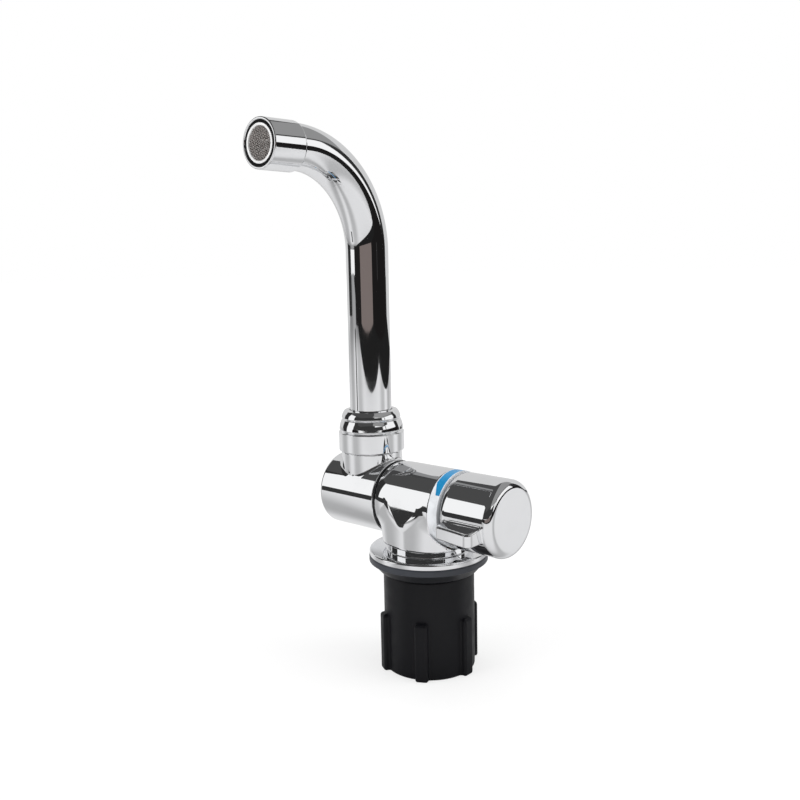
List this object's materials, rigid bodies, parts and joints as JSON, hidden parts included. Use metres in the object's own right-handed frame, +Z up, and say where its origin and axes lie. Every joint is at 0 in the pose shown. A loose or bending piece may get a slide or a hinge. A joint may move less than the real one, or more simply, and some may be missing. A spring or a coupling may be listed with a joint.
{
  "type": "folding caravan tap",
  "caption": "Chrome cold-water tap with a bent spout that swivels and folds down, a knob with a finger lever on a horizontal barrel and a ribbed clamp nut under the worktop.",
  "frame": {"origin": "centre of the gasket's underside, where the tap sits on the worktop", "axes": "+Z up, +X along the barrel towards the knob, -Y to the front, where the outlet points"},
  "size_m": [0.0918, 0.0817, 0.2243],
  "materials": {
    "chrome": "polished",
    "brass": "machined",
    "rubber": "matt",
    "slip_plastic": "matt",
    "steel": "plain",
    "ceramic": "lapped",
    "white_plastic": "gloss",
    "blue_plastic": "gloss",
    "screen_steel": "woven",
    "black_plastic": "satin"
  },
  "bodies": {
    "base": {"valve_body": "chrome", "base_flange": "chrome", "base_gasket": "rubber", "threaded_shank": "brass", "pivot_stud": "brass", "stud_seals": "rubber", "fold_washer": "slip_plastic", "fold_stop_pin": "steel", "stud_retainer": "steel", "stud_screw": "steel", "cartridge_body": "brass", "cartridge_seal": "rubber", "seat_seal": "rubber", "fixed_disc": "ceramic", "gland_nut": "brass", "index_ring": "white_plastic", "index_marker": "blue_plastic"},
    "elbow": {"swivel_elbow": "chrome", "elbow_cap": "chrome", "collar_nut": "chrome", "slip_washer": "white_plastic"},
    "spout": {"spout_tube": "chrome", "spout_ferrule": "brass", "spout_seals": "rubber", "aerator_housing": "chrome", "aerator_seal": "rubber", "aerator_insert": "white_plastic", "aerator_screen": "screen_steel"},
    "knob": {"control_knob": "chrome", "knob_adapter": "white_plastic", "valve_spindle": "brass", "moving_disc": "ceramic", "knob_screw": "steel"},
    "nut_washer": {"nut_washer": "steel"},
    "clamp_nut": {"clamp_nut": "black_plastic"}
  },
  "joints": [
    {"name": "spout_fold", "type": "hinge", "parent": "base", "child": "elbow", "pos_m": [-0.0315, 0, 0.0278], "axis": [1, 0, 0], "range_deg": [0, 90]},
    {"name": "spout_swivel", "type": "hinge", "parent": "elbow", "child": "spout", "pos_m": [-0.0315, 0, 0.06], "axis": [0, 0, 1], "continuous": true},
    {"name": "knob_turn", "type": "hinge", "parent": "base", "child": "knob", "pos_m": [0.031, 0, 0.0278], "axis": [-1, 0, 0], "range_deg": [0, 90]},
    {"name": "nut_travel", "type": "slide", "parent": "base", "child": "nut_washer", "axis": [0, 0, -1], "range_m": [0, 0.02]},
    {"name": "nut_turn", "type": "hinge", "parent": "nut_washer", "child": "clamp_nut", "pos_m": [0, 0, -0.02], "axis": [0, 0, -1], "range_deg": [0, 2890]}
  ],
  "couplings": [
    {"joint": "nut_turn", "follows": "nut_travel", "rad_per_m": 2513.3}
  ]
}
